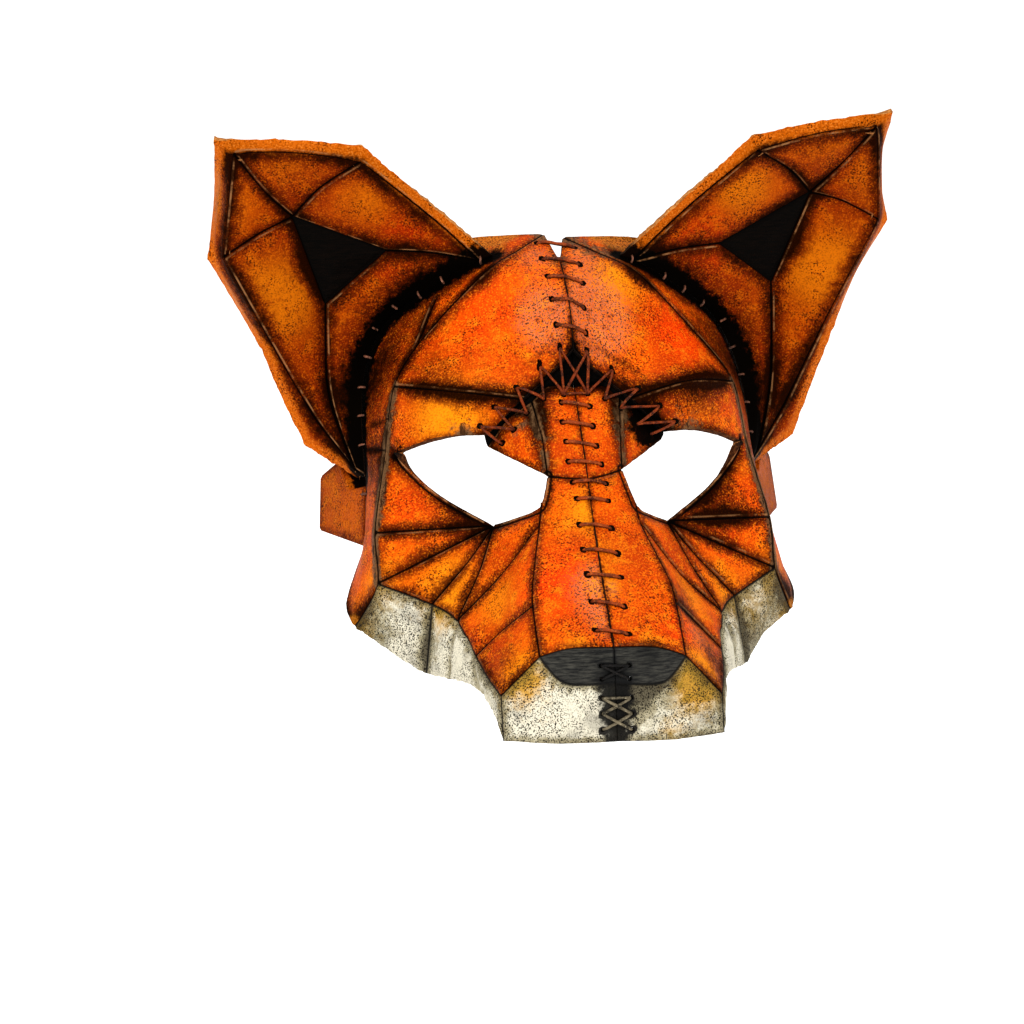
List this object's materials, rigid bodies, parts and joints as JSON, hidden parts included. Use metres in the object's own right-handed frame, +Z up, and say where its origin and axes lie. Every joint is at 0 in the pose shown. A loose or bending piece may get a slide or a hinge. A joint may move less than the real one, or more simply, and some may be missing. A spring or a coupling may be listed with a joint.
{
  "type": "leather fox mask",
  "caption": "Moulded leather fox half mask with laced centre and brow seams, eye holes, upright cupped ears and side tabs, worn over the upper face.",
  "frame": {"origin": "inner face of the bridge of the nose on the centre seam, where the mask sits on the wearer's nose", "axes": "+Z up, the face looks along -Y, +X towards the viewer's right from the front"},
  "size_m": [0.2436, 0.1338, 0.2019],
  "materials": {
    "face_leather": "dyed orange with dark burnished folds, cream muzzle and black nose",
    "ear_leather": "dyed orange with black shaded hollow and tan cut rim",
    "tab_leather": "dyed brown orange"
  },
  "bodies": {
    "root": {"face_half_left": "face_leather", "face_half_right": "face_leather", "ear_left": "ear_leather", "ear_right": "ear_leather", "strap_tab_left": "tab_leather", "strap_tab_right": "tab_leather"}
  },
  "joints": []
}
